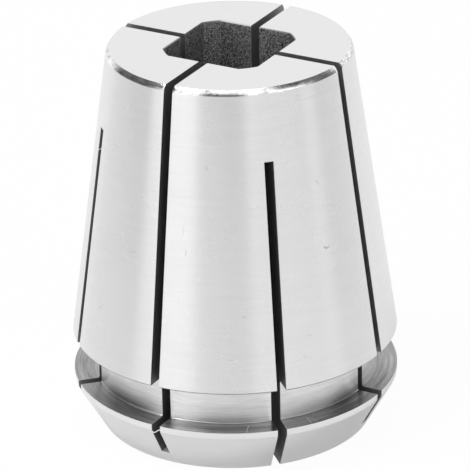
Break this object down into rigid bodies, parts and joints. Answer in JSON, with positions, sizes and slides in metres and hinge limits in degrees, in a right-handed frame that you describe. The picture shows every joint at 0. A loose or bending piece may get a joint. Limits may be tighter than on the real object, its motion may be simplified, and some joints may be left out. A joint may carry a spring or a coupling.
{
  "type": "er collet",
  "caption": "Slotted spring collet with a shallow taper, nose flange, extraction groove, round shank bore and square drive socket, for holding a tap in a collet chuck.",
  "frame": {"origin": "centre of the front face, the wide end that the collet stands on", "axes": "+Z along the collet's axis towards the small end with the square socket; +X and +Y square to the socket's flats, along the slots cut from the small end"},
  "size_m": [0.033, 0.033, 0.04],
  "materials": {
    "ground_steel": "hardened spring steel, bright ground taper and faces, turned groove and nose, matt spark-cut bore and slots"
  },
  "bodies": {
    "root": {"collet_body": "ground_steel"}
  },
  "joints": []
}
